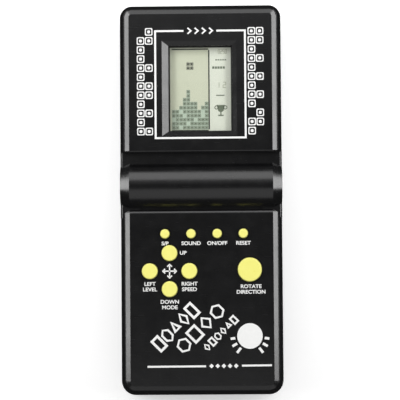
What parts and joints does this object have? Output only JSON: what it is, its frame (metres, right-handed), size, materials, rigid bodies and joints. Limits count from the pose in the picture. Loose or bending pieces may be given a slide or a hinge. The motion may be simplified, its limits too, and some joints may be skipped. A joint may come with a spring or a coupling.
{
  "type": "handheld lcd game",
  "caption": "Handheld game with a recessed LCD screen in a raised head, a round barrel across the waist, and a lower panel of round push keys.",
  "frame": {"origin": "on the back face, at the middle of the case's outline", "axes": "+Z out of the screen, +Y towards the screen end, +X to the right of someone who looks at the screen"},
  "size_m": [0.0768, 0.185, 0.03],
  "materials": {
    "front_plastic": "moulded semi-gloss black",
    "back_plastic": "moulded satin black",
    "door_plastic": "moulded satin black",
    "key_plastic": "moulded yellow",
    "keypad_rubber": "silicone rubber",
    "carbon_pill": "carbon-filled rubber",
    "window_plastic": "clear acrylic",
    "lcd_glass": "clear glass",
    "polariser_film": "tinted film",
    "reflector_film": "reflective film",
    "contact_strip": "layered conductive rubber",
    "board_laminate": "phenolic paper laminate",
    "chip_resin": "epoxy drop",
    "contact_metal": "nickel-plated spring steel",
    "cell_wrap": "printed metal can",
    "screw_steel": "zinc-plated",
    "buzzer_brass": "plain",
    "buzzer_ceramic": "silvered ceramic",
    "lead_red": "sleeved wire",
    "lead_black": "sleeved wire",
    "capacitor_sleeve": "shrink sleeve",
    "disc_capacitor": "dipped coating",
    "resistor_body": "lacquered",
    "transistor_case": "moulded"
  },
  "bodies": {
    "case": {"back_shell": "back_plastic", "board_screws": "screw_steel", "buzzer_ceramic": "buzzer_ceramic", "buzzer_plate": "buzzer_brass", "case_screws": "screw_steel", "cell_lower": "cell_wrap", "cell_upper": "cell_wrap", "ceramic_capacitors": "disc_capacitor", "chip_blob": "chip_resin", "contact_link": "contact_metal", "contact_negative": "contact_metal", "contact_positive": "contact_metal", "dome_down": "keypad_rubber", "dome_left": "keypad_rubber", "dome_power": "keypad_rubber", "dome_reset": "keypad_rubber", "dome_right": "keypad_rubber", "dome_rotate": "keypad_rubber", "dome_sound": "keypad_rubber", "dome_start": "keypad_rubber", "dome_up": "keypad_rubber", "electrolytic_capacitor": "capacitor_sleeve", "front_shell": "front_plastic", "keypad_direction": "keypad_rubber", "keypad_function": "keypad_rubber", "keypad_rotate": "keypad_rubber", "lcd_front_glass": "lcd_glass", "lcd_front_polariser": "polariser_film", "lcd_rear_glass": "lcd_glass", "lcd_reflector": "reflector_film", "lead_buzzer_centre": "lead_black", "lead_buzzer_edge": "lead_black", "lead_negative": "lead_black", "lead_positive": "lead_red", "main_board": "board_laminate", "resistors": "resistor_body", "screen_window": "window_plastic", "spring_link": "contact_metal", "spring_negative": "contact_metal", "transistor": "transistor_case", "zebra_strips": "contact_strip"},
    "door": {"battery_door": "door_plastic"},
    "key_up": {"key_up": "key_plastic", "pill_up": "carbon_pill"},
    "key_down": {"key_down": "key_plastic", "pill_down": "carbon_pill"},
    "key_left": {"key_left": "key_plastic", "pill_left": "carbon_pill"},
    "key_right": {"key_right": "key_plastic", "pill_right": "carbon_pill"},
    "key_rotate": {"key_rotate": "key_plastic", "pill_rotate": "carbon_pill"},
    "key_start": {"key_start": "key_plastic", "pill_start": "carbon_pill"},
    "key_sound": {"key_sound": "key_plastic", "pill_sound": "carbon_pill"},
    "key_power": {"key_power": "key_plastic", "pill_power": "carbon_pill"},
    "key_reset": {"key_reset": "key_plastic", "pill_reset": "carbon_pill"}
  },
  "joints": [
    {"name": "press_up", "type": "slide", "parent": "case", "child": "key_up", "axis": [0, 0, -1], "range_m": [0, 0.001], "stiffness_N_per_m": 1000, "deforming": ["dome_up"]},
    {"name": "press_down", "type": "slide", "parent": "case", "child": "key_down", "axis": [0, 0, -1], "range_m": [0, 0.001], "stiffness_N_per_m": 1000, "deforming": ["dome_down"]},
    {"name": "press_left", "type": "slide", "parent": "case", "child": "key_left", "axis": [0, 0, -1], "range_m": [0, 0.001], "stiffness_N_per_m": 1000, "deforming": ["dome_left"]},
    {"name": "press_right", "type": "slide", "parent": "case", "child": "key_right", "axis": [0, 0, -1], "range_m": [0, 0.001], "stiffness_N_per_m": 1000, "deforming": ["dome_right"]},
    {"name": "press_rotate", "type": "slide", "parent": "case", "child": "key_rotate", "axis": [0, 0, -1], "range_m": [0, 0.001], "stiffness_N_per_m": 1100, "deforming": ["dome_rotate"]},
    {"name": "press_start", "type": "slide", "parent": "case", "child": "key_start", "axis": [0, 0, -1], "range_m": [0, 0.001], "stiffness_N_per_m": 800, "deforming": ["dome_start"]},
    {"name": "press_sound", "type": "slide", "parent": "case", "child": "key_sound", "axis": [0, 0, -1], "range_m": [0, 0.001], "stiffness_N_per_m": 800, "deforming": ["dome_sound"]},
    {"name": "press_power", "type": "slide", "parent": "case", "child": "key_power", "axis": [0, 0, -1], "range_m": [0, 0.001], "stiffness_N_per_m": 800, "deforming": ["dome_power"]},
    {"name": "press_reset", "type": "slide", "parent": "case", "child": "key_reset", "axis": [0, 0, -1], "range_m": [0, 0.001], "stiffness_N_per_m": 800, "deforming": ["dome_reset"]},
    {"name": "door_hinge", "type": "hinge", "parent": "case", "child": "door", "pos_m": [0, 0.02245, 0], "axis": [1, 0, 0], "range_deg": [0, 75]}
  ]
}
